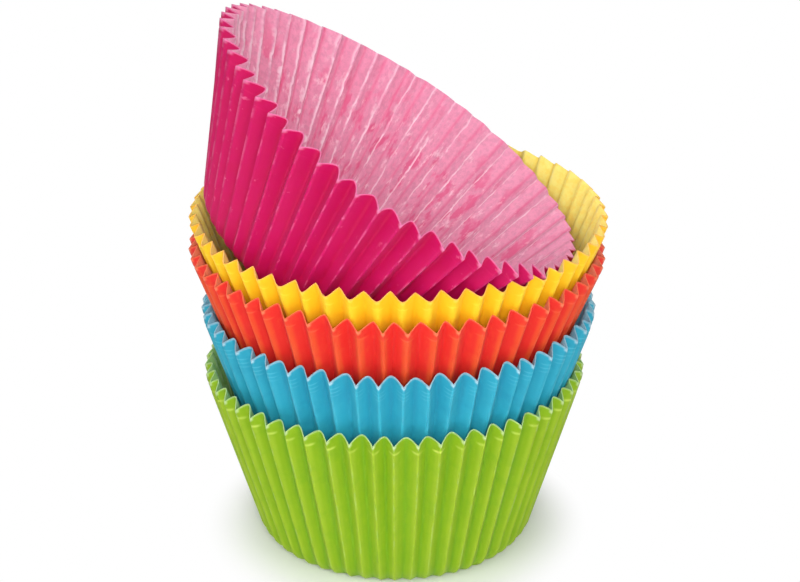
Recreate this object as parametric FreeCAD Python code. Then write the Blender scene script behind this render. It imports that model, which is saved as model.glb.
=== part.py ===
# Stack of five pleated paper cupcake liners, four nested upright and the fifth leaning in the top one.
# Millimetres and degrees, +Z up, the origin in the middle of the underside of the lowest liner.
import FreeCAD, Part
import math
import os
from FreeCAD import Vector

# Sizes that every liner shares, as all are pressed from the same disc of paper
PLEATS = 54              # outer folds around one liner
FLOOR_RADIUS = 25.0      # from the middle to where the lines of floor and wall would meet
CORNER_RADIUS = 5.0      # bend between the floor and the wall
SLANT = 35.2             # paper from the floor's corner to the rim, along an outer fold
PAPER = 0.15             # thickness of the paper
FOOT_DEPTH = 0.8         # from an outer to an inner fold at the floor's corner, where the pleats run out
RIM_RISE = 0.8           # the inner folds end this much above the outer ones

# Rim of each upright liner: each one is sprung open by a different amount
GREEN_RADIUS = 35.0
BLUE_RADIUS = 35.9
RED_RADIUS = 37.5
YELLOW_RADIUS = 37.1

# Depth of the pleats at each rim, from an outer to an inner fold
GREEN_DEPTH = 1.9
BLUE_DEPTH = 2.1
RED_DEPTH = 1.9
YELLOW_DEPTH = 1.6
PINK_DEPTH = 1.6

# How the upright liners sit: their outer folds jam between the inner folds of the one below
NEST_REACH = 0.1         # the outer folds reach this far in between those inner folds
BLUE_LEAN = (0.2, 0.1)   # degrees towards the front and towards the right
RED_LEAN = (1.3, 1.3)
YELLOW_LEAN = (1.9, 0.6)
GREEN_TURN = 0.50        # turn about the axis, in pleats
BLUE_TURN = 0.70
RED_TURN = 0.92
YELLOW_TURN = 0.70
NEST_SHIFT = 0.6         # the rims of the three inner liners stand this far to the right of the lowest one

# Leaning liner: its rim is pressed oval and pushed out of line with its floor
PINK_LEAN = (-2.0, 36.0)
PINK_TURN = 0.5
PINK_RIM_LONG = 40.4     # half the oval, front to back
PINK_RIM_SHORT = 35.8    # half the oval, left to right
PINK_RIM_TWIST = 8.6     # the oval turned about the axis
PINK_RIM_LEFT = 5.1      # rim's middle from the floor's axis
PINK_RIM_FRONT = 2.9
PINK_FLOOR_LEFT = 14.4   # middle of its floor from the lowest liner's axis
PINK_REACH = 0.1         # its outer folds reach this far in between the inner folds of the liner below

FRONT = -math.pi / 2     # direction the first pleat is counted from
SEAT_STEP = 0.001        # how closely the height of a seat is worked out
RIM_MARGIN = 0.001       # keeps a point at rim level on the rim


def lean_frame(lean, place):
    """Placement of a liner that leans to the front and to the right, with its floor's middle at place."""
    front = math.radians(lean[0])
    right = math.radians(lean[1])
    up = Vector(math.sin(right), -math.sin(front) * math.cos(right), math.cos(front) * math.cos(right))
    across = Vector(0, 1, 0).cross(up)
    across.normalize()
    rotation = FreeCAD.Rotation(across, up.cross(across), up, "ZXY")
    return FreeCAD.Placement(Vector(*place), rotation)


def oval_point(angle, long_half, short_half, twist, shift):
    """Point of the rim's oval for a fold that leaves the floor at this angle."""
    x = short_half * math.cos(angle)
    y = long_half * math.sin(angle)
    turn = math.radians(twist)
    return Vector(x * math.cos(turn) - y * math.sin(turn) + shift[0],
                  x * math.sin(turn) + y * math.cos(turn) + shift[1], 0)


def fold_line(angle, rim, inner):
    """Points of one fold from the floor's edge to the rim, as pairs: outside and inside of the paper."""
    depth = rim["depth"] if inner else 0
    foot_depth = FOOT_DEPTH if inner else 0
    top = oval_point(angle, rim["long"] - depth, rim["short"] - depth, rim["twist"], rim["shift"])
    heading = math.atan2(top.y - rim["shift"][1], top.x - rim["shift"][0])
    inward = Vector(-math.cos(heading), -math.sin(heading), 0)
    foot = inward * (foot_depth - FLOOR_RADIUS)
    run = top - foot
    top.z = math.sqrt(SLANT ** 2 - run.Length ** 2) + (RIM_RISE if inner else 0)
    wall = top - foot
    wall.normalize()
    slope = math.acos(-wall.dot(inward))
    tangent = CORNER_RADIUS * math.tan(slope / 2)
    middle = inward + wall
    middle.normalize()
    sagitta = CORNER_RADIUS / math.cos(slope / 2) - CORNER_RADIUS
    outside = [foot + inward * tangent, foot + middle * sagitta, foot + wall * tangent, top]
    depths = [0, foot_depth / 2, FOOT_DEPTH, rim["depth"]]
    tilts = [0, slope / 2, slope, slope]
    pairs = []
    for point, fold, tilt in zip(outside, depths, tilts):
        half_width = math.hypot(point.x - rim["shift"][0], point.y - rim["shift"][1]) * math.pi / PLEATS
        thick = PAPER * math.hypot(half_width, fold) / half_width
        normal = inward * math.sin(tilt) + Vector(0, 0, math.cos(tilt))
        pairs.append((point, point + normal * thick))
    return pairs


def facet(*points):
    """Flat triangle or polygon of paper through the points."""
    return Part.Face(Part.makePolygon(list(points) + [points[0]]))


def skin(crests, valleys, side):
    """One side of the paper: the flat floor and the creased facets of each pleat."""
    faces = [facet(*[line[0][side] for line in crests])]
    for k in range(PLEATS):
        left = [pair[side] for pair in crests[k]]
        right = [pair[side] for pair in crests[(k + 1) % PLEATS]]
        inner = [pair[side] for pair in valleys[k]]
        faces.append(facet(left[0], right[0], inner[1]))
        faces.append(facet(left[0], inner[1], left[1]))
        faces.append(facet(right[0], right[1], inner[1]))
        for low in (1, 2):
            high = low + 1
            faces.append(facet(left[low], inner[low], inner[high]))
            faces.append(facet(left[low], inner[high], left[high]))
            faces.append(facet(right[low], inner[high], inner[low]))
            faces.append(facet(right[low], right[high], inner[high]))
    return faces


def rim_edge(crests, valleys):
    """Cut edge of the paper along the rim."""
    faces = []
    for k in range(PLEATS):
        inner_out, inner_in = valleys[k][-1]
        for line in (crests[k], crests[(k + 1) % PLEATS]):
            outer_out, outer_in = line[-1]
            faces.append(facet(outer_out, inner_out, inner_in))
            faces.append(facet(outer_out, inner_in, outer_in))
    return faces


def outer_folds(rim, turn):
    """Fold lines of the outer folds, each half a pleat before its inner fold."""
    pitch = 2 * math.pi / PLEATS
    return [fold_line(FRONT + (turn + k - 0.5) * pitch, rim, False) for k in range(PLEATS)]


def inner_folds(rim, turn):
    """Fold lines of the inner folds, counted from the front."""
    pitch = 2 * math.pi / PLEATS
    return [fold_line(FRONT + (turn + k) * pitch, rim, True) for k in range(PLEATS)]


def liner(rim, turn, place):
    """Pleated liner folded from its crests and valleys, standing in its place."""
    crests = outer_folds(rim, turn)
    valleys = inner_folds(rim, turn)
    shell = Part.Shell(skin(crests, valleys, 0) + skin(crests, valleys, 1) + rim_edge(crests, valleys))
    solid = Part.Solid(shell)
    if solid.Volume < 0:
        solid.reverse()
    solid.Placement = place
    return solid


def round_rim(radius, depth):
    """Rim of a liner that stands open evenly."""
    return {"long": radius, "short": radius, "twist": 0.0, "shift": (0.0, 0.0), "depth": depth}


def rim_height(radius):
    """Height of the outer folds' ends above the floor, for a round rim."""
    return math.sqrt(SLANT ** 2 - (radius - FLOOR_RADIUS) ** 2)


def inner_profile(rim):
    """Radius and level of the paper inside the inner folds, from the floor's edge up to the rim."""
    return [(math.hypot(inside.x, inside.y), inside.z) for outside, inside in fold_line(0, rim, True)]


def room(profile, level):
    """Radius that is free between the inner folds at a level: none below the floor, any above the rim."""
    if level < profile[0][1]:
        return 0.0
    for (low_radius, low), (high_radius, high) in zip(profile, profile[1:]):
        if level <= high:
            return low_radius + (high_radius - low_radius) * (level - low) / (high - low)
    return math.inf


def at_level(low, high, level):
    """Point where the line between two points passes a level."""
    return low + (high - low) * ((level - low.z) / (high.z - low.z))


def stands_clear(crests, place, below, reach):
    """Whether no outer fold reaches further in between the inner folds of the liner below."""
    into_below = below["place"].inverse().multiply(place)
    rim_level = below["profile"][-1][1]
    for line in crests:
        points = [into_below.multVec(outside) for outside, inside in line]
        crossings = [at_level(low, high, rim_level) for low, high in zip(points, points[1:])
                     if low.z < rim_level < high.z]
        for point in points + crossings:
            if math.hypot(point.x, point.y) - reach > room(below["profile"], point.z - RIM_MARGIN):
                return False
    return True


def seat(crests, place, below, reach):
    """Place of a liner set down until its outer folds jam in the liner below."""
    low = below["place"].Base.z
    high = low + 2 * SLANT
    while high - low > SEAT_STEP:
        middle = (low + high) / 2
        place.Base = Vector(place.Base.x, place.Base.y, middle)
        if stands_clear(crests, place, below, reach):
            high = middle
        else:
            low = middle
    place.Base = Vector(place.Base.x, place.Base.y, high)
    return place


def upright_liners():
    """The four nested liners, and the place and inner profile of the top one."""
    rows = [("green_liner", GREEN_RADIUS, GREEN_DEPTH, (0.0, 0.0), GREEN_TURN),
            ("blue_liner", BLUE_RADIUS, BLUE_DEPTH, BLUE_LEAN, BLUE_TURN),
            ("red_liner", RED_RADIUS, RED_DEPTH, RED_LEAN, RED_TURN),
            ("yellow_liner", YELLOW_RADIUS, YELLOW_DEPTH, YELLOW_LEAN, YELLOW_TURN)]
    solids = {}
    below = None
    for name, radius, depth, lean, turn in rows:
        rim = round_rim(radius, depth)
        place = lean_frame(lean, (0, 0, 0))
        if below is not None:
            axis = place.multVec(Vector(0, 0, rim_height(radius)))
            place.Base = Vector(NEST_SHIFT - axis.x, -axis.y, 0)
            place = seat(outer_folds(rim, turn), place, below, NEST_REACH)
        solids[name] = liner(rim, turn, place)
        below = {"place": place, "profile": inner_profile(rim)}
    return solids, below


def leaning_liner(below):
    """The fifth liner, wedged at a slant in the top rim."""
    rim = {"long": PINK_RIM_LONG, "short": PINK_RIM_SHORT, "twist": PINK_RIM_TWIST,
           "shift": (-PINK_RIM_LEFT, -PINK_RIM_FRONT), "depth": PINK_DEPTH}
    place = lean_frame(PINK_LEAN, (-PINK_FLOOR_LEFT, 0, 0))
    return liner(rim, PINK_TURN, seat(outer_folds(rim, PINK_TURN), place, below, PINK_REACH))


def build():
    """All liners by name."""
    solids, top = upright_liners()
    solids["pink_liner"] = leaning_liner(top)
    return solids


os.makedirs("parts", exist_ok=True)
for node, shape in build().items():
    shape.exportStep("parts/" + node + ".step")
    print(node, "valid", shape.isValid(), "volume", round(shape.Volume, 1), "box", shape.BoundBox)
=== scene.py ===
import math
import random
import bpy
from mathutils import Matrix, Vector


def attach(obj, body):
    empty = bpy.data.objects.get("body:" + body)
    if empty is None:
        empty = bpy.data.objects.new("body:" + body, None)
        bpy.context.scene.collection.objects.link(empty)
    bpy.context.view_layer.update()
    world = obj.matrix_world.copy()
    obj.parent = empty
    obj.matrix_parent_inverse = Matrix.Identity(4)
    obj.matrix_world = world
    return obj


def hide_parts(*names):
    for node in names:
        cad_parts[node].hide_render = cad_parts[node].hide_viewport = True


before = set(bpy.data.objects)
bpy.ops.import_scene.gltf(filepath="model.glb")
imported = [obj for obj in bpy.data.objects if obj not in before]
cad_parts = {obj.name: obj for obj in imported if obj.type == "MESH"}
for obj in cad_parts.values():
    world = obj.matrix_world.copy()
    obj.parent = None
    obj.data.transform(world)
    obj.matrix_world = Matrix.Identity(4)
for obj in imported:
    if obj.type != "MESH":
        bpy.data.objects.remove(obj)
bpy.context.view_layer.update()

MM = 0.001

# Paper disc that every liner is pressed from, in millimetres
PLEATS = 54
FLOOR_RADIUS = 25.0
CORNER_RADIUS = 5.0
SLANT = 35.2             # paper from the floor's corner to the rim, along an outer fold
PAPER = 0.15             # thickness
FOOT_DEPTH = 0.8         # depth of the pleats where they run out at the floor's corner
INNER_RISE = 0.8         # how much further up the inner folds of the upright liners end
PITCH = 2 * math.pi / PLEATS
FRONT = -math.pi / 2     # direction the pleats are counted from

# Places on the sheet, for the grain of the paper and the sway of the folds, in millimetres
MIDDLE_RADIUS = 32.0     # half way up the wall
CORNER_FROM_RIM = 30.0   # from the rim down to the bend at the floor

# How the sheet is divided: columns across one pleat, and rings from the floor's middle to the rim
STEPS = 12
COLUMNS = PLEATS * STEPS
FLOOR_RINGS = (-1.0, -0.6, -0.25, -0.08)
CORNER_RINGS = (0.0, 0.2, 0.4, 0.6, 0.8, 1.0)
WALL_FROM_RIM = (26.0, 23.0, 20.0, 17.0, 14.0, 11.0, 8.5, 6.5, 5.0, 3.8,
                 2.8, 2.3, 2.0, 1.7, 1.4, 1.0, 0.6, 0.3, 0.0)
CORNER_FADE = 0.5        # share of the corner's bend over which the pleats begin
FLOOR_FOLD = 0.5         # place in a pleat that the finish takes for the plain floor
MERGE_DISTANCE = 0.001 * MM

# The pressed rim: a line below it, and outer folds with blunt ends
CREASE = 1.7
CREASE_DEPTH = 0.09
CREASE_WIDTH = 0.35
BLUNT_HEIGHT = 1.5
BLUNT_WIDTH = 0.3        # share of the way to the inner fold

# Above that line the inner folds flare outwards and upwards, and the folds are rounder near the rim
FLARE_LIFT = 1.2         # upwards for each millimetre outwards
LOW_ROUNDNESS = 0.45
ROUND_HEIGHT = 7.0

# Differences from one pleat to the next: places and sway in pleats, depth and blunt as shares,
# and the others in millimetres
UNEVEN_RANGES = {
    "place": (-0.08, 0.08),
    "fold_place": (-0.07, 0.07),
    "depth": (-0.14, 0.04),
    "rise": (-0.2, 0.15),
    "sway": (-0.05, 0.05),
    "bulge": (-0.07, 0.07),
    "blunt": (0.4, 1.1),
}


def all_round(value):
    """The same value towards the front, back, left and right."""
    return (value, value, value, value)


UPRIGHT = {"twist": 0.0, "shift": (0.0, 0.0), "slant": all_round(SLANT), "rise": INNER_RISE}

# Rims and places of the liners in the frame, in millimetres. Lean is in degrees, to the front and right.
# Halves, slant, depth and round have values towards the front, back, left and right of the rim's oval.
# Halves are half the rim's width, and slant is the paper from the floor's corner to the rim.
# Twist turns the oval, in degrees, and shift moves it off the floor's axis.
# Turn is how far the pleats are turned, in pleats, and depth is how deep they are.
# Rise is how much further up the inner folds end.
# Round is the roundness of the inner folds, below zero of the outer folds, and soft that of both.
# Flare and blunt shape the ends of the inner and the outer folds, and uneven scales the differences.
LINERS = {
    "green": {
        **UPRIGHT, "halves": (35.0, 35.0, 35.3, 35.0), "depth": all_round(1.9), "turn": 0.5,
        "lean": (0.0, 0.0), "floor": (0.0, 0.0, 0.0),
        "round": all_round(0.9), "soft": 0.1, "flare": 0.3, "blunt": 0.2, "uneven": 1.0, "seed": 3,
    },
    "blue": {
        **UPRIGHT, "halves": (35.9, 35.9, 36.1, 36.2), "depth": all_round(2.1), "turn": 0.7,
        "lean": (0.2, 0.1), "floor": (0.542, 0.117, 12.198),
        "round": all_round(1.0), "soft": 0.25, "flare": 0.3, "blunt": 0.2, "uneven": 1.5, "seed": 5,
    },
    "red": {
        **UPRIGHT, "halves": (37.5, 37.5, 37.9, 37.5), "depth": all_round(1.9), "turn": 0.92,
        "lean": (1.3, 1.3), "floor": (-0.147, 0.746, 24.201),
        "round": all_round(0.4), "soft": 0.35, "flare": 0.25, "blunt": 0.05, "uneven": 1.0, "seed": 8,
    },
    "yellow": {
        **UPRIGHT, "halves": (37.4, 37.1, 37.6, 37.7), "depth": all_round(1.6), "turn": 0.7,
        "lean": (1.9, 0.6), "floor": (0.254, 1.096, 30.351),
        "round": all_round(-0.9), "soft": 0.5, "flare": 0.2, "blunt": 0.0, "uneven": 0.8, "seed": 13,
    },
    "pink": {
        "halves": (37.8, 43.8, 34.9, 37.5), "twist": 26.0, "shift": (-4.5, -6.1),
        "slant": (SLANT, 34.5, 34.0, SLANT), "depth": (2.9, 2.4, 2.9, 0.9), "rise": 0.0, "turn": 0.6,
        "lean": (-2.0, 36.0), "floor": (-14.4, 0.0, 50.951),
        "round": (0.8, -1.0, 0.9, -0.5), "soft": 0.0, "flare": 0.0, "blunt": 0.0, "uneven": 1.0, "seed": 21,
    },
}


# Folding


def by_side(values, angle):
    """Value in a direction, from those towards the front, back, left and right."""
    front, back, left, right = values
    lengthwise = back if math.sin(angle) > 0 else front
    sideways = right if math.cos(angle) > 0 else left
    return lengthwise * math.sin(angle) ** 2 + sideways * math.cos(angle) ** 2


class FoldLine:
    """One fold from the floor's edge, round the corner and up the wall to the rim."""

    def __init__(self, angle, rim, depth, foot_depth, rise):
        side_x, side_y = self.rim_point(angle, rim, depth)
        shift_x, shift_y = rim["shift"]
        heading = math.atan2(side_y, side_x)
        self.top = Vector((side_x + shift_x, side_y + shift_y, 0))
        inward = Vector((-math.cos(heading), -math.sin(heading), 0))
        foot = inward * (foot_depth - FLOOR_RADIUS)
        slant = by_side(rim["slant"], angle)
        self.top.z = math.sqrt(slant ** 2 - (self.top - foot).length ** 2) + rise
        wall = (self.top - foot).normalized()
        slope = math.acos(-wall.dot(inward))
        tangent = CORNER_RADIUS * math.tan(slope / 2)
        middle = (inward + wall).normalized()
        self.start = foot + inward * tangent
        self.end = foot + wall * tangent
        self.centre = foot + middle * (CORNER_RADIUS / math.cos(slope / 2))
        self.wall_length = (self.top - self.end).length
        self.outward = -inward
        self.sideways = Vector((-self.outward.y, self.outward.x, 0))

    @staticmethod
    def rim_point(angle, rim, depth):
        """Point of the rim's oval, seen from above and from the oval's own middle."""
        turn = math.radians(rim["twist"])
        front, back, left, right = rim["halves"]
        x = ((right if math.cos(angle) > 0 else left) - depth) * math.cos(angle)
        y = ((back if math.sin(angle) > 0 else front) - depth) * math.sin(angle)
        return x * math.cos(turn) - y * math.sin(turn), x * math.sin(turn) + y * math.cos(turn)

    def at(self, stage):
        """Point at a stage: -1 to 0 across the floor, 0 to 1 round the corner, and 1 to 2 up the wall."""
        if stage <= 0:
            return self.start * (1 + stage)
        if stage <= 1:
            spoke = (self.start - self.centre).slerp(self.end - self.centre, stage)
            return self.centre + spoke.normalized() * CORNER_RADIUS
        return self.end.lerp(self.top, stage - 1)


def pleat_shape(across, roundness, softness):
    """How far in the paper lies between an outer fold (0) and an inner fold (1)."""
    share = abs(roundness)
    if roundness < 0:
        rounded = 1 - math.cos(across * math.pi / 2)
    else:
        rounded = math.sin(across * math.pi / 2)
    wave = (1 - math.cos(across * math.pi)) / 2
    return (across * (1 - share) + rounded * share) * (1 - softness) + wave * softness


def uneven(seed, amount):
    """Small differences from one pleat to the next, as pressed paper has."""
    rng = random.Random(seed)
    return {key: [rng.uniform(low, high) * amount for _ in range(PLEATS)]
            for key, (low, high) in UNEVEN_RANGES.items()}


def blunt_share(across, below):
    """How much of its bluntness a place near the end of an outer fold has."""
    near_rim = max(0.0, 1 - below / BLUNT_HEIGHT)
    near_fold = max(0.0, 1 - across / BLUNT_WIDTH)
    return near_rim * near_fold


def crease_depth(across, below):
    """Depth of the pressed line below the rim, in millimetres."""
    near_line = max(0.0, 1 - abs(below - CREASE) / CREASE_WIDTH)
    return CREASE_DEPTH * near_line * (1 - across)


def ring_count():
    return len(FLOOR_RINGS) + len(CORNER_RINGS) + len(WALL_FROM_RIM)


def stage_of(ring, line):
    """Stage of a ring on one fold line, and its distance below the rim."""
    if ring < len(FLOOR_RINGS):
        return FLOOR_RINGS[ring], CORNER_FROM_RIM - FLOOR_RINGS[ring] * FLOOR_RADIUS
    ring -= len(FLOOR_RINGS)
    if ring < len(CORNER_RINGS):
        return CORNER_RINGS[ring], CORNER_FROM_RIM
    below = WALL_FROM_RIM[ring - len(CORNER_RINGS)]
    return 2 - below / line.wall_length, below


class Column:
    """One column of the sheet, from the floor's middle to the rim, at its place in a pleat."""

    def __init__(self, number, liner, spread):
        pleat, step = divmod(number, STEPS)
        after = (pleat + 1) % PLEATS
        part = step / STEPS

        def between(key):
            return spread[key][pleat] * (1 - part) + spread[key][after] * part

        self.across = 1 - abs(2 * part - 1)
        sideways = between("place") + spread["fold_place"][pleat] * self.across
        azimuth = FRONT + (liner["turn"] + pleat + part - 0.5 + sideways) * PITCH
        depth = by_side(liner["depth"], azimuth) * (1 + spread["depth"][pleat])
        rise = liner["rise"] + spread["rise"][pleat]
        self.outer = FoldLine(azimuth, liner, 0, 0, 0)
        self.inner = FoldLine(azimuth, liner, depth, FOOT_DEPTH, rise)
        self.round = by_side(liner["round"], azimuth)
        self.soft = liner["soft"]
        self.flare = liner["flare"]
        self.blunt = liner["blunt"] * between("blunt")
        self.sway = between("sway") * PITCH * MIDDLE_RADIUS
        self.bulge = spread["bulge"][pleat] * self.across

    def inwards(self, below):
        """Share of the way from the outer to the inner fold at a distance below the rim."""
        near_rim = max(0.0, 1 - below / ROUND_HEIGHT)
        roundness = self.round * (LOW_ROUNDNESS + (1 - LOW_ROUNDNESS) * near_rim)
        return pleat_shape(self.across, roundness, self.soft)

    def point(self, ring):
        """Point of the sheet on a ring, in millimetres from the liner's own floor."""
        stage, below = stage_of(ring, self.outer)
        inner_stage = stage_of(ring, self.inner)[0]
        weight = self.inwards(below)
        fade = min(1.0, max(0.0, stage / CORNER_FADE))
        point = self.outer.at(stage).lerp(self.inner.at(inner_stage), weight * fade)
        middle = math.sin(math.pi * min(1.0, max(0.0, stage - 1)))
        flare = self.flare * weight * max(0.0, 1 - below / CREASE)
        blunt = self.blunt * blunt_share(self.across, below)
        outwards = flare - blunt + self.bulge * middle - crease_depth(self.across, below)
        sideways = self.sway * middle
        lift = Vector((0, 0, flare * FLARE_LIFT))
        return point + (self.outer.outward * outwards + self.outer.sideways * sideways + lift)


def lean_matrix(lean, floor):
    """Place of a liner that leans to the front and to the right, in millimetres."""
    front = math.radians(lean[0])
    right = math.radians(lean[1])
    up = Vector((math.sin(right), -math.sin(front) * math.cos(right), math.cos(front) * math.cos(right)))
    across = Vector((0, 1, 0)).cross(up).normalized()
    back = up.cross(across)
    turned = Matrix((across, back, up)).transposed().to_4x4()
    return Matrix.Translation(Vector(floor)) @ turned


def disc_tube(name):
    """Plain tube of rings, a millimetre apart, which the pressing then shapes."""
    bpy.ops.object.select_all(action="DESELECT")
    bpy.ops.mesh.primitive_circle_add(vertices=COLUMNS, radius=FLOOR_RADIUS * MM)
    piece = bpy.context.object
    piece.name = name
    piece.data.name = name
    bpy.ops.object.mode_set(mode="EDIT")
    bpy.ops.mesh.select_all(action="SELECT")
    for _ in range(ring_count() - 1):
        bpy.ops.mesh.extrude_region_move(TRANSFORM_OT_translate={"value": (0, 0, MM)})
    bpy.ops.object.mode_set(mode="OBJECT")
    return piece


def press(piece, liner):
    """Folds the tube into a pleated cup, sets it in place and notes where each point is on the sheet."""
    spread = uneven(liner["seed"], liner["uneven"])
    columns = [Column(number, liner, spread) for number in range(COLUMNS)]
    place = lean_matrix(liner["lean"], liner["floor"])
    mesh = piece.data
    fold = mesh.attributes.new("fold", "FLOAT", "POINT")
    from_rim = mesh.attributes.new("from_rim", "FLOAT", "POINT")
    sheet = mesh.attributes.new("sheet", "FLOAT_VECTOR", "POINT")
    for vertex in mesh.vertices:
        angle = math.atan2(vertex.co.y, vertex.co.x)
        ring = round(vertex.co.z / MM)
        column = columns[round(angle / (2 * math.pi) * COLUMNS) % COLUMNS]
        stage, below = stage_of(ring, column.outer)
        vertex.co = place @ column.point(ring) * MM
        fold.data[vertex.index].value = column.across if stage >= 0 else FLOOR_FOLD
        from_rim.data[vertex.index].value = below
        radius = MIDDLE_RADIUS * min(1.0, 1 + stage)
        sheet.data[vertex.index].vector = (radius * math.cos(angle), radius * math.sin(angle), below)


def faces_point_out(piece, middle):
    """Whether most of the surface faces away from the cup's middle."""
    facing = sum((face.center - middle).dot(face.normal) * face.area for face in piece.data.polygons)
    return facing > 0


def close_sheet(piece, middle):
    """Joins the points in the floor's middle and turns all faces outwards."""
    bpy.ops.object.mode_set(mode="EDIT")
    bpy.ops.mesh.select_all(action="SELECT")
    bpy.ops.mesh.remove_doubles(threshold=MERGE_DISTANCE)
    bpy.ops.mesh.normals_make_consistent(inside=False)
    bpy.ops.object.mode_set(mode="OBJECT")
    if not faces_point_out(piece, middle):
        bpy.ops.object.mode_set(mode="EDIT")
        bpy.ops.mesh.flip_normals()
        bpy.ops.object.mode_set(mode="OBJECT")


def sharpen_edge(piece):
    """Keeps the shading of the cut edge apart from that of the paper's sides."""
    bpy.ops.object.mode_set(mode="EDIT")
    bpy.ops.mesh.select_all(action="DESELECT")
    piece.active_material_index = 2
    bpy.ops.object.material_slot_select()
    bpy.ops.mesh.region_to_loop()
    bpy.ops.mesh.mark_sharp()
    bpy.ops.mesh.select_all(action="DESELECT")
    bpy.ops.object.mode_set(mode="OBJECT")


def thicken(piece, middle, outside, inside, edge):
    """Gives the sheet its thickness, with its own finish outside, inside and on the cut edge."""
    bpy.context.view_layer.objects.active = piece
    piece.select_set(True)
    for material in (outside, inside, edge):
        piece.data.materials.append(material)
    close_sheet(piece, middle)
    wall = piece.modifiers.new("paper", "SOLIDIFY")
    wall.thickness = PAPER * MM
    wall.offset = -1
    wall.use_even_offset = True
    wall.thickness_clamp = 2
    wall.material_offset = 1
    wall.material_offset_rim = 2
    bpy.ops.object.modifier_apply(modifier=wall.name)
    bpy.ops.object.shade_smooth()
    sharpen_edge(piece)
    piece.select_set(False)


# Finishes


SEE_THROUGH = 0.5        # share of the light that goes into the paper
SEE_THROUGH_DEPTH = 0.4  # how far it goes, in millimetres
LINE_ROUNDING = 2.0      # how much rounder the pressed lines are than the rim, in millimetres
CREASE_WOBBLE = 0.22     # how far the creases inside wander, in pleats

# Sockets of a mix node that holds colours
MIX_AMOUNT = 0
MIX_UNDER = 6
MIX_OVER = 7
MIX_RESULT = 2

# Patterns on the sheet: cells per millimetre, detail, roughness, and stretch along the pleats
CLOUD = (0.35, 4.0, 0.6, 1.0)
FIBRE = (1.6, 3.0, 0.7, 3.0)
WEAR = (0.9, 3.0, 0.6, 2.5)
FLECKS = (1.3, 2.0, 0.6, 2.0)
INSIDE_CLOUD = (0.55, 3.0, 0.6, 3.0)
INSIDE_GRAIN = (1.8, 4.0, 0.7, 1.6)
SCUFFS = (1.0, 3.0, 0.7, 3.0)
BREAKS = (0.35, 3.0, 0.6, 2.0)
KNOTS = (0.5, 2.0, 0.5, 1.5)
WOBBLE = (0.3, 2.0, 0.6, 1.0)
EDGE_GRAIN = (1.2, 3.0, 0.6, 1.0)

# Where each tone begins and ends from an outer fold (0) to an inner fold (1). The valley's and the inner
# grooves' tones are painted shade, and the ridge's and the pressed line's are painted highlights.
VALLEY_SHADE_ACROSS = (0.55, 1.0)
RIDGE_HIGHLIGHT_ACROSS = (0.18, 0.48)
WORN_ACROSS = (0.0, 0.14)
FLECK_ACROSS = (0.1, 0.5)
LINE_HIGHLIGHT_ACROSS = (0.3, 0.65)
LIP_ACROSS = (0.1, 0.28)
INSIDE_GROOVE_SHADE_ACROSS = (0.0, 0.3)
NOT_FLOOR_ACROSS = (0.52, 0.62)

# Where each tone begins and ends below the rim, in millimetres. The ridge's painted highlight and the painted
# bounce light further down are among them.
RIDGE_HIGHLIGHT_BELOW = (1.2, 2.2)
BOUNCE_LIGHT_BELOW = (4.0, 12.0)
LIP_BELOW = (0.35, 0.9)
WORKED_BELOW = (3.0, 12.0)
CREASE_BELOW = (0.0, 9.0)

# Half the width of a crease inside and of the knots on it, from full to none, in pleats
CREASE_REACH = (0.02, 0.09)
KNOT_REACH = (0.06, 0.2)


def srgb(red, green, blue):
    """Linear colour of a screen colour given from 0 to 255, by the sRGB curve."""
    def linear(value):
        value /= 255
        return value / 12.92 if value <= 0.04045 else ((value + 0.055) / 1.055) ** 2.4
    return (linear(red), linear(green), linear(blue), 1.0)


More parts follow.
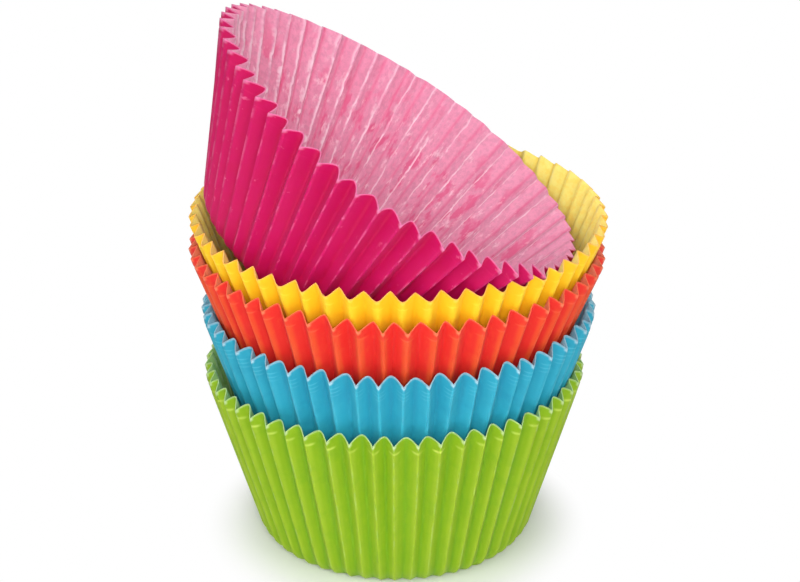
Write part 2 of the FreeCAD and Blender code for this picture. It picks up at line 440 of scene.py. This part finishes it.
class Finish:
    """A material, built up from small node steps."""

    def __init__(self, name, roughness, specular, sheen, see_through=True):
        self.material = bpy.data.materials.new(name)
        self.material.use_nodes = True
        self.nodes = self.material.node_tree.nodes
        self.links = self.material.node_tree.links
        self.shader = self.nodes["Principled BSDF"]
        self.shader.inputs["Roughness"].default_value = roughness
        self.shader.inputs["Specular IOR Level"].default_value = specular
        self.shader.inputs["Sheen Weight"].default_value = sheen
        self.shader.inputs["Subsurface Weight"].default_value = SEE_THROUGH if see_through else 0.0
        self.shader.inputs["Subsurface Radius"].default_value = (1, 1, 1)
        self.shader.inputs["Subsurface Scale"].default_value = SEE_THROUGH_DEPTH * MM

    def attribute(self, name, output="Fac"):
        node = self.nodes.new("ShaderNodeAttribute")
        node.attribute_name = name
        return node.outputs[output]

    def noise(self, pattern):
        """Noise of a pattern on the sheet."""
        scale, detail, roughness, stretch = pattern
        mapping = self.nodes.new("ShaderNodeMapping")
        mapping.inputs["Scale"].default_value = (1, 1, 1 / stretch)
        self.links.new(self.attribute("sheet", "Vector"), mapping.inputs["Vector"])
        node = self.nodes.new("ShaderNodeTexNoise")
        node.inputs["Scale"].default_value = scale
        node.inputs["Detail"].default_value = detail
        node.inputs["Roughness"].default_value = roughness
        self.links.new(mapping.outputs["Vector"], node.inputs["Vector"])
        return node.outputs["Fac"]

    def band(self, value, limits, low_out=0.0, high_out=1.0):
        """Value taken smoothly from its limits to another range, and held at its ends."""
        node = self.nodes.new("ShaderNodeMapRange")
        node.interpolation_type = "SMOOTHSTEP"
        self.links.new(value, node.inputs["Value"])
        for socket, number in zip(("From Min", "From Max", "To Min", "To Max"), (*limits, low_out, high_out)):
            node.inputs[socket].default_value = number
        return node.outputs["Result"]

    def tint(self, under, over, amount):
        """Colour over another by an amount, where either may be a fixed colour."""
        node = self.nodes.new("ShaderNodeMix")
        node.data_type = "RGBA"
        for colour, socket in ((under, node.inputs[MIX_UNDER]), (over, node.inputs[MIX_OVER])):
            if isinstance(colour, tuple):
                socket.default_value = colour
            else:
                self.links.new(colour, socket)
        self.links.new(amount, node.inputs[MIX_AMOUNT])
        return node.outputs[MIX_RESULT]

    def math(self, operation, first, second):
        """Arithmetic on two values, where the second may be a fixed number."""
        node = self.nodes.new("ShaderNodeMath")
        node.operation = operation
        self.links.new(first, node.inputs[0])
        if isinstance(second, float):
            node.inputs[1].default_value = second
        else:
            self.links.new(second, node.inputs[1])
        return node.outputs[0]

    def times(self, first, second):
        return self.math("MULTIPLY", first, second)

    def crease_distance(self):
        """Distance from the nearest inner fold in pleats, 0 to a half, for a crease that wobbles sideways."""
        split = self.nodes.new("ShaderNodeSeparateXYZ")
        self.links.new(self.attribute("sheet", "Vector"), split.inputs[0])
        angle = self.math("ARCTAN2", split.outputs["Y"], split.outputs["X"])
        pleats = self.times(angle, 1 / PITCH)
        sideways = self.times(self.math("SUBTRACT", self.noise(WOBBLE), 0.5), CREASE_WOBBLE)
        part = self.math("WRAP", self.math("ADD", pleats, sideways), 1.0)
        return self.math("ABSOLUTE", self.math("SUBTRACT", part, 0.5), 0.0)

    def pressed_line_highlight(self, distance, width):
        """A thin painted highlight along a pressed line at a distance below the rim, rounder than the rim and
        strongest on the outer folds.
        """
        fold = self.attribute("fold")
        rounding = self.times(fold, self.math("SUBTRACT", fold, 1.0))
        below = self.math("ADD", self.attribute("from_rim"), self.times(rounding, LINE_ROUNDING))
        rising = self.band(below, (distance - width, distance))
        falling = self.band(below, (distance, distance + width), 1.0, 0.0)
        on_fold = self.band(fold, LINE_HIGHLIGHT_ACROSS, 1.0, 0.0)
        return self.times(self.times(rising, falling), on_fold)

    def bump(self, height, strength, distance):
        node = self.nodes.new("ShaderNodeBump")
        node.inputs["Strength"].default_value = strength
        node.inputs["Distance"].default_value = distance
        self.links.new(height, node.inputs["Height"])
        self.links.new(node.outputs["Normal"], self.shader.inputs["Normal"])

    def colour(self, colour):
        self.links.new(colour, self.shader.inputs["Base Color"])


def painted_fold_light(finish, look, fold, below):
    """Face colour with painted shade in the inner folds, a painted highlight on the outer ones and, where a
    liner has a glow, painted bounce light further down.
    """
    # painted shade: the inner folds, the valleys of the outside, darker
    base = finish.tint(look["face"], look["fold_shade_and_mottle"], finish.band(fold, VALLEY_SHADE_ACROSS, 0.0, 0.8))
    # painted highlight: the outer ridges lighter, weaker above the pressed line
    ridge_highlight_and_fibre = finish.times(finish.band(fold, RIDGE_HIGHLIGHT_ACROSS, look["ridge_highlight_amount"], 0.0),
                         finish.band(below, RIDGE_HIGHLIGHT_BELOW, 0.25, 1.0))
    base = finish.tint(base, look["ridge_highlight_and_fibre"], ridge_highlight_and_fibre)
    # painted bounce light: the wall lighter or warmer further down
    if "glow" in look:
        base = finish.tint(base, look["glow"], finish.band(below, BOUNCE_LIGHT_BELOW, 0.0, look["glow_amount"]))
    return base


def worn_folds(finish, look, fold, base):
    """Dye rubbed off along the outer folds, and in flecks beside them."""
    worn = finish.times(finish.band(finish.noise(WEAR), (0.46, 0.62)),
                        finish.band(fold, WORN_ACROSS, look["worn"], 0.0))
    base = finish.tint(base, look["edge"], worn)
    if "fleck" in look:
        fleck = finish.times(finish.band(finish.noise(FLECKS), (0.64, 0.74)),
                             finish.band(fold, FLECK_ACROSS, look["fleck"], 0.0))
        base = finish.tint(base, look["edge"], fleck)
    return base


def pale_rim(finish, look, fold, below, base):
    """Pale ends of the outer folds, and the pale edge all along the rim."""
    lip = finish.times(finish.band(below, LIP_BELOW, 1.0, 0.0),
                       finish.band(fold, LIP_ACROSS, look["lip"], 0.0))
    base = finish.tint(base, look["lip_tone"], lip)
    edge = finish.band(below, (look["edge_width"] / 2, look["edge_width"]), 1.0, 0.0)
    return finish.tint(base, look["edge"], finish.times(edge, look["edge_amount"]))


def outside_paper(name, look):
    """Dyed outer side: painted highlights on the ridges, painted shade in the folds, pressed lines below the
    rim with a painted highlight, and a pale edge.
    """
    finish = Finish(name, roughness=0.5, specular=0.15, sheen=0.02)
    fold = finish.attribute("fold")
    below = finish.attribute("from_rim")
    cloud = finish.noise(CLOUD)
    fibre = finish.noise(FIBRE)
    base = painted_fold_light(finish, look, fold, below)
    # random mottle in the colour of the fold shade
    base = finish.tint(base, look["fold_shade_and_mottle"], finish.band(cloud, (0.45, 0.75), 0.0, 0.35))
    # paler fibres at random, in the colour of the ridge highlight
    base = finish.tint(base, look["ridge_highlight_and_fibre"], finish.band(fibre, (0.5, 0.8), 0.0, 0.35))
    base = worn_folds(finish, look, fold, base)
    # painted highlight along each pressed line below the rim
    for distance, width, amount in look["lines"]:
        line = finish.times(finish.pressed_line_highlight(distance, width), finish.band(cloud, (0.3, 0.6), 0.4, 1.0))
        base = finish.tint(base, look["line"], finish.times(line, amount))
    finish.colour(pale_rim(finish, look, fold, below, base))
    finish.bump(fibre, strength=0.35, distance=0.06 * MM)
    return finish.material


def inside_creases(finish, crease, below, on_wall):
    """Broken pale line along each inner fold."""
    broken = finish.band(finish.noise(BREAKS), (0.4, 0.5), 0.15, 1.0)
    line = finish.times(finish.band(crease, CREASE_REACH, 0.75, 0.0), broken)
    return finish.times(line, finish.times(finish.band(below, CREASE_BELOW, 0.55, 1.0), on_wall))


def inside_knots(finish, crease, on_wall):
    """Wider pale spots here and there on the creases."""
    near = finish.band(crease, KNOT_REACH, 0.9, 0.0)
    return finish.times(finish.times(finish.band(finish.noise(KNOTS), (0.6, 0.68)), near), on_wall)


def inside_paper(name, look):
    """Undyed inner side, where the colour shows through in clouds and streaks along the pleats, with painted
    shade in the grooves along the outer folds.
    """
    finish = Finish(name, roughness=0.6, specular=0.15, sheen=0.05)
    fold = finish.attribute("fold")
    below = finish.attribute("from_rim")
    grain = finish.noise(INSIDE_GRAIN)
    worked = finish.band(below, WORKED_BELOW, 0.35, 1.0)
    on_wall = finish.band(fold, NOT_FLOOR_ACROSS)
    cloud = finish.band(finish.noise(INSIDE_CLOUD), (0.53, 0.66), 0.0, 0.85)
    scuff = finish.band(finish.noise(SCUFFS), (0.55, 0.7), 0.0, 0.6)
    crease = finish.crease_distance()
    line = inside_creases(finish, crease, below, on_wall)
    knot = inside_knots(finish, crease, on_wall)
    base = finish.tint(look["inside"], look["inside_dull"], finish.band(grain, (0.4, 0.65), 0.0, 0.9))
    base = finish.tint(base, look["inside_mottle_and_groove_shade"], finish.times(cloud, worked))
    # painted shade in the grooves along the outer folds, seen from inside
    base = finish.tint(base, look["inside_mottle_and_groove_shade"], finish.band(fold, INSIDE_GROOVE_SHADE_ACROSS, 0.55, 0.0))
    base = finish.tint(base, look["inside_pale"], finish.times(scuff, worked))
    base = finish.tint(base, look["inside_pale"], line)
    base = finish.tint(base, look["inside_pale"], finish.times(knot, worked))
    finish.colour(base)
    finish.bump(finish.math("ADD", grain, line), strength=0.5, distance=0.1 * MM)
    return finish.material


def cut_edge(name, look):
    """The cut edge of the paper."""
    finish = Finish(name, roughness=0.7, specular=0.2, sheen=0.0)
    grain = finish.band(finish.noise(EDGE_GRAIN), (0.5, 0.8), 0.0, 0.35)
    finish.colour(finish.tint(look["edge"], look["face"], grain))
    return finish.material


# Colours of each liner, outside and inside. Lines are the pressed lines below the rim, each with its distance
# and half width in millimetres, and its amount. The edge's width is in millimetres too. The fold shade is
# painted shade in the inner folds and also the tone of random mottles. The ridge highlight is a painted
# highlight and also the tone of the fibres. The glow is painted bounce light further down. The line colour is
# a painted highlight along the pressed lines.
# The inside's groove shade is painted shade and also the tone of its clouds.
LOOKS = {
    "green": {
        "face": srgb(134, 171, 20), "fold_shade_and_mottle": srgb(113, 161, 20), "ridge_highlight_and_fibre": srgb(154, 181, 43),
        "ridge_highlight_amount": 0.75, "edge": srgb(170, 200, 136), "edge_width": 0.3, "edge_amount": 0.6,
        "lip_tone": srgb(190, 212, 155), "lip": 0.8, "worn": 0.25,
        "line": srgb(192, 210, 92), "lines": ((1.7, 0.42, 0.85),),
        "inside": srgb(170, 205, 130), "inside_dull": srgb(158, 196, 112),
        "inside_mottle_and_groove_shade": srgb(140, 190, 70), "inside_pale": srgb(215, 232, 190),
    },
    "blue": {
        "face": srgb(42, 156, 182), "fold_shade_and_mottle": srgb(32, 138, 168), "ridge_highlight_and_fibre": srgb(58, 166, 190),
        "ridge_highlight_amount": 0.5, "glow": srgb(50, 168, 192), "glow_amount": 0.5,
        "edge": srgb(140, 178, 194), "edge_width": 0.42, "edge_amount": 0.75,
        "lip_tone": srgb(172, 206, 220), "lip": 0.9, "worn": 0.1,
        "line": srgb(96, 186, 208), "lines": ((1.5, 0.22, 0.5), (2.3, 0.22, 0.4), (3.1, 0.25, 0.25)),
        "inside": srgb(140, 208, 230), "inside_dull": srgb(136, 194, 216),
        "inside_mottle_and_groove_shade": srgb(90, 180, 210), "inside_pale": srgb(200, 222, 232),
    },
    "red": {
        "face": srgb(219, 46, 38), "fold_shade_and_mottle": srgb(215, 36, 34), "ridge_highlight_and_fibre": srgb(221, 84, 40),
        "ridge_highlight_amount": 0.8, "edge": srgb(232, 110, 74), "edge_width": 0.28, "edge_amount": 0.5,
        "lip_tone": srgb(236, 132, 94), "lip": 0.8, "worn": 0.15,
        "line": srgb(230, 100, 70), "lines": ((1.7, 0.3, 0.6),),
        "inside": srgb(238, 140, 118), "inside_dull": srgb(228, 128, 106),
        "inside_mottle_and_groove_shade": srgb(230, 90, 72), "inside_pale": srgb(245, 172, 150),
    },
    "yellow": {
        "face": srgb(247, 190, 27), "fold_shade_and_mottle": srgb(246, 180, 22), "ridge_highlight_and_fibre": srgb(248, 199, 42),
        "ridge_highlight_amount": 0.6, "glow": srgb(240, 152, 30), "glow_amount": 0.6,
        "edge": srgb(250, 180, 90), "edge_width": 0.25, "edge_amount": 0.5,
        "lip_tone": srgb(255, 220, 110), "lip": 0.3, "worn": 0.1,
        "line": srgb(255, 226, 80), "lines": ((1.7, 0.3, 0.35),),
        "inside": srgb(255, 233, 132), "inside_dull": srgb(255, 222, 108),
        "inside_mottle_and_groove_shade": srgb(253, 210, 90), "inside_pale": srgb(255, 238, 160),
    },
    "pink": {
        "face": srgb(190, 7, 87), "fold_shade_and_mottle": srgb(184, 11, 77), "ridge_highlight_and_fibre": srgb(194, 24, 101),
        "ridge_highlight_amount": 0.25, "edge": srgb(226, 118, 164), "edge_width": 0.25, "edge_amount": 0.6,
        "lip_tone": srgb(228, 138, 178), "lip": 0.6, "worn": 0.4, "fleck": 0.6,
        "line": srgb(216, 50, 112), "lines": ((1.7, 0.3, 0.2),),
        "inside": srgb(232, 156, 184), "inside_dull": srgb(216, 146, 172),
        "inside_mottle_and_groove_shade": srgb(222, 98, 142), "inside_pale": srgb(255, 222, 232),
    },
}


# The stack


def make_liner(colour, liner):
    look = LOOKS[colour]
    piece = disc_tube(colour + "_liner_paper")
    press(piece, liner)
    middle = lean_matrix(liner["lean"], liner["floor"]) @ Vector((0, 0, SLANT / 2)) * MM
    thicken(piece, middle, outside_paper(colour + "_outside", look), inside_paper(colour + "_inside", look),
            cut_edge(colour + "_cut_edge", look))
    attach(piece, "root")
    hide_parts(colour + "_liner")


def make_stack():
    for colour, liner in LINERS.items():
        make_liner(colour, liner)


# Floor, light and camera, in metres, watts and degrees


FLOOR_SIZE = 4
FLOOR_WHITE = (0.93, 0.93, 0.93, 1)
SHADOW_START = 0.025     # from the stack's axis, where the shadow begins to fade
SHADOW_END = 0.037
WHITE = (1, 1, 1, 1)
DOME_STRENGTH = 0.42
BACKGROUND_STRENGTH = 1.0
LIGHT_TARGET = (0, 0, 0.05)

# Place, width and power of each lamp
LAMPS = {
    "front": ((0.02, -0.45, 0.26), 0.2, 1.3),
    "key": ((-0.35, -0.52, 0.42), 0.5, 1.55),
    "fill": ((0.40, -0.55, 0.35), 0.5, 0.9),
    "top": ((-0.10, 0.10, 0.80), 0.5, 1.1),
}

LENS = 97.47             # in millimetres, for the sensor's width
SENSOR_WIDTH = 36
CAMERA_PLACE = (0.0009, -0.3620, 0.2081)
CAMERA_DOWN = 23.91      # how far it looks down


def make_floor():
    """Plain white floor that keeps the shadow near the stack and turns to plain white further out."""
    bpy.ops.object.select_all(action="DESELECT")
    bpy.ops.mesh.primitive_plane_add(size=FLOOR_SIZE)
    floor = bpy.context.object
    floor.name = "floor"
    finish = Finish("floor_white", roughness=0.9, specular=0.0, sheen=0.0, see_through=False)
    finish.shader.inputs["Base Color"].default_value = FLOOR_WHITE
    place = finish.nodes.new("ShaderNodeTexCoord").outputs["Object"]
    length = finish.nodes.new("ShaderNodeVectorMath")
    length.operation = "LENGTH"
    finish.links.new(place, length.inputs[0])
    far = finish.band(length.outputs["Value"], (SHADOW_START, SHADOW_END))
    rays = finish.nodes.new("ShaderNodeLightPath")
    shown = finish.times(far, rays.outputs["Is Camera Ray"])
    glow = finish.nodes.new("ShaderNodeEmission")
    mix = finish.nodes.new("ShaderNodeMixShader")
    finish.links.new(shown, mix.inputs[0])
    finish.links.new(finish.shader.outputs[0], mix.inputs[1])
    finish.links.new(glow.outputs[0], mix.inputs[2])
    finish.links.new(mix.outputs[0], finish.nodes["Material Output"].inputs["Surface"])
    floor.data.materials.append(finish.material)


def add_softbox(name, place, size, power):
    """Round lamp that faces the stack."""
    lamp = bpy.data.lights.new(name, "AREA")
    lamp.shape = "DISK"
    lamp.size = size
    lamp.energy = power
    holder = bpy.data.objects.new(name, lamp)
    holder.location = place
    holder.rotation_mode = "QUATERNION"
    holder.rotation_quaternion = (Vector(LIGHT_TARGET) - Vector(place)).to_track_quat("-Z", "Y")
    bpy.context.scene.collection.objects.link(holder)


def make_light():
    """Lamps and a dim white dome, which the camera sees as plain white."""
    for name, (place, size, power) in LAMPS.items():
        add_softbox(name, place, size, power)
    world = bpy.data.worlds.new("studio")
    world.use_nodes = True
    nodes = world.node_tree.nodes
    links = world.node_tree.links
    dome = nodes["Background"]
    dome.inputs["Color"].default_value = WHITE
    dome.inputs["Strength"].default_value = DOME_STRENGTH
    seen = nodes.new("ShaderNodeBackground")
    seen.inputs["Color"].default_value = WHITE
    seen.inputs["Strength"].default_value = BACKGROUND_STRENGTH
    rays = nodes.new("ShaderNodeLightPath")
    mix = nodes.new("ShaderNodeMixShader")
    links.new(rays.outputs["Is Camera Ray"], mix.inputs[0])
    links.new(dome.outputs[0], mix.inputs[1])
    links.new(seen.outputs[0], mix.inputs[2])
    links.new(mix.outputs[0], nodes["World Output"].inputs["Surface"])
    bpy.context.scene.world = world


def make_camera():
    """Camera where the photo was taken from: in front, a little above, looking down."""
    camera = bpy.data.cameras.new("camera")
    camera.lens = LENS
    camera.sensor_width = SENSOR_WIDTH
    holder = bpy.data.objects.new("camera", camera)
    holder.location = CAMERA_PLACE
    holder.rotation_euler = (math.radians(90 - CAMERA_DOWN), 0, 0)
    bpy.context.scene.collection.objects.link(holder)
    bpy.context.scene.camera = holder


make_stack()
make_floor()
make_light()
make_camera()
bpy.context.scene.view_settings.view_transform = "Standard"
